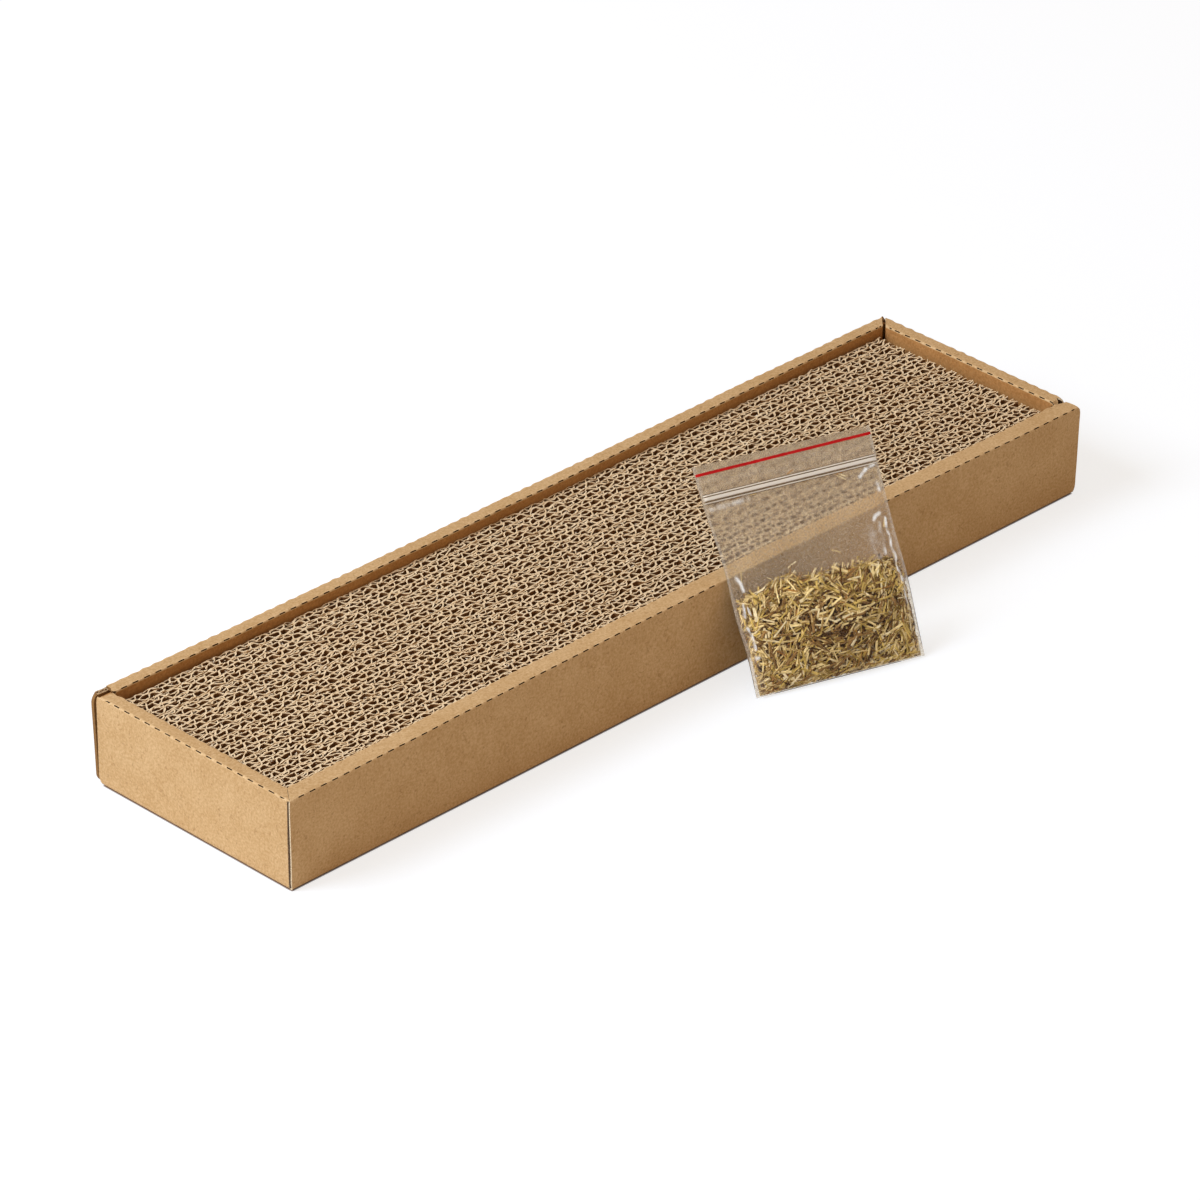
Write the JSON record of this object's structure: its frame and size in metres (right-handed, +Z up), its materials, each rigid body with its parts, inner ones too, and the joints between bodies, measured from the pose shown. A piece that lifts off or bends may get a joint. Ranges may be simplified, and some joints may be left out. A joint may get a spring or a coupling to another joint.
{
  "type": "cat scratch board",
  "caption": "Long shallow folded board tray with roll-over walls, holding a lift-out pad of edge-on corrugated strips, with a clear grip-seal bag of dried catnip leaning on its front rim.",
  "frame": {"origin": "middle of the tray's underside, on the surface it stands on", "axes": "+X along the tray to the end that is far right in the picture, +Y from the near long wall to the far one, +Z up"},
  "size_m": [0.48, 0.174, 0.0855],
  "materials": {
    "tray_board": "smooth natural brown liner of thin corrugated board",
    "strip_board": "saw-cut edges of natural brown corrugated board",
    "clear_film": "clear crinkled polythene film with a red opening line",
    "zip_plastic": "milky clear extruded polythene",
    "catnip": "dried stalks and leaves, olive to straw"
  },
  "bodies": {
    "tray": {"tray_floor": "tray_board", "front_outer_wall": "tray_board", "back_outer_wall": "tray_board", "left_outer_wall": "tray_board", "right_outer_wall": "tray_board", "front_rim": "tray_board", "back_rim": "tray_board", "left_rim": "tray_board", "right_rim": "tray_board", "front_inner_wall": "tray_board", "back_inner_wall": "tray_board", "left_inner_wall": "tray_board", "right_inner_wall": "tray_board", "front_left_flap": "tray_board", "front_right_flap": "tray_board", "back_left_flap": "tray_board", "back_right_flap": "tray_board"},
    "pad": {"scratch_strip_01": "strip_board", "scratch_strip_02": "strip_board", "scratch_strip_03": "strip_board", "scratch_strip_04": "strip_board", "scratch_strip_05": "strip_board", "scratch_strip_06": "strip_board", "scratch_strip_07": "strip_board", "scratch_strip_08": "strip_board", "scratch_strip_09": "strip_board", "scratch_strip_10": "strip_board", "scratch_strip_11": "strip_board", "scratch_strip_12": "strip_board", "scratch_strip_13": "strip_board", "scratch_strip_14": "strip_board", "scratch_strip_15": "strip_board", "scratch_strip_16": "strip_board"},
    "bag": {"bag_front_film": "clear_film", "bag_back_film": "clear_film", "zip_rib": "zip_plastic", "zip_groove": "zip_plastic", "catnip_fill": "catnip"}
  },
  "joints": [
    {"name": "pad_lift", "type": "slide", "parent": "tray", "child": "pad", "axis": [0, 0, 1], "range_m": [0, 0.08]},
    {"name": "bag_lift", "type": "slide", "parent": "pad", "child": "bag", "axis": [0, 0, 1], "range_m": [0, 0.12]}
  ]
}
